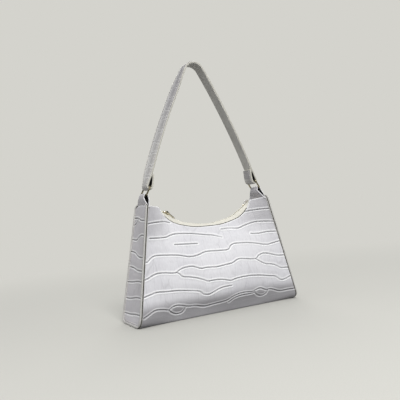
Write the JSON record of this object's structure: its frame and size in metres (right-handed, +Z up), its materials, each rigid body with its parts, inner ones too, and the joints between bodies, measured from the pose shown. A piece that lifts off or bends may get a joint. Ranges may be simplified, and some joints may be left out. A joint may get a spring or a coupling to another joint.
{
  "type": "shoulder bag",
  "caption": "Small structured shoulder bag with raised horns, a zip along the curved mouth, rings at the horns and one flat strap.",
  "frame": {"origin": "middle of the base, on the surface that the bag stands on", "axes": "+X to the right across the width seen from the front, +Y to the back, +Z up; the zip's slider rests on the -X side"},
  "size_m": [0.2498, 0.0682, 0.3561],
  "materials": {
    "leather": "large-scale reptile emboss, satin",
    "edge_paint": "painted seam edge, satin",
    "lining": "plain woven cloth",
    "zip_tape": "woven tape",
    "zip_teeth": "moulded, satin",
    "gold": "pale gold plating, polished",
    "board": "stiff sheet, hidden"
  },
  "bodies": {
    "bag": {"front_panel": "leather", "back_panel": "leather", "base_panel": "leather", "left_gusset": "leather", "right_gusset": "leather", "left_edge_binding": "edge_paint", "right_edge_binding": "edge_paint", "base_board": "board", "lining_front": "lining", "lining_back": "lining", "lining_base": "lining", "lining_left": "lining", "lining_right": "lining", "inner_pocket": "lining", "zip_tape_front": "zip_tape", "zip_tape_back": "zip_tape", "zip_teeth_front": "zip_teeth", "zip_teeth_back": "zip_teeth", "zip_stops": "gold"},
    "left_tab": {"left_tab": "leather"},
    "right_tab": {"right_tab": "leather"},
    "left_ring": {"left_ring": "gold"},
    "right_ring": {"right_ring": "gold"},
    "strap": {"strap_outer": "leather", "strap_lining": "leather"},
    "zip_slider": {"zip_slider": "gold"},
    "zip_pull": {"zip_pull": "gold"}
  },
  "joints": [
    {"name": "strap_fold", "type": "hinge", "parent": "bag", "child": "left_tab", "pos_m": [-0.091, 0, 0.1685], "axis": [1, 0, 0], "range_deg": [-90, 90], "deforming": ["left_tab"]},
    {"name": "right_tab_fold", "type": "hinge", "parent": "bag", "child": "right_tab", "pos_m": [0.091, 0, 0.1685], "axis": [1, 0, 0], "range_deg": [-90, 90], "deforming": ["right_tab"]},
    {"name": "left_ring_sway", "type": "hinge", "parent": "left_tab", "child": "left_ring", "pos_m": [-0.091, 0, 0.1685], "axis": [0, 1, 0], "range_deg": [-12, 12]},
    {"name": "strap_sway", "type": "hinge", "parent": "left_ring", "child": "strap", "pos_m": [-0.08425, 0, 0.18019], "axis": [0, 1, 0], "range_deg": [-13, 13]},
    {"name": "right_ring_sway", "type": "hinge", "parent": "right_tab", "child": "right_ring", "pos_m": [0.091, 0, 0.1685], "axis": [0, 1, 0], "range_deg": [-12, 12]},
    {"name": "zip_slide", "type": "hinge", "parent": "bag", "child": "zip_slider", "pos_m": [0, 0, 0.2355], "axis": [0, -1, 0], "range_deg": [0, 66]},
    {"name": "pull_flip", "type": "hinge", "parent": "zip_slider", "child": "zip_pull", "pos_m": [-0.05952, 0, 0.14384], "axis": [0, -1, 0], "range_deg": [0, 180]}
  ],
  "couplings": [
    {"joint": "right_tab_fold", "follows": "strap_fold", "ratio": 1},
    {"joint": "strap_sway", "follows": "left_ring_sway", "ratio": -1.08},
    {"joint": "right_ring_sway", "follows": "left_ring_sway", "ratio": 1}
  ]
}
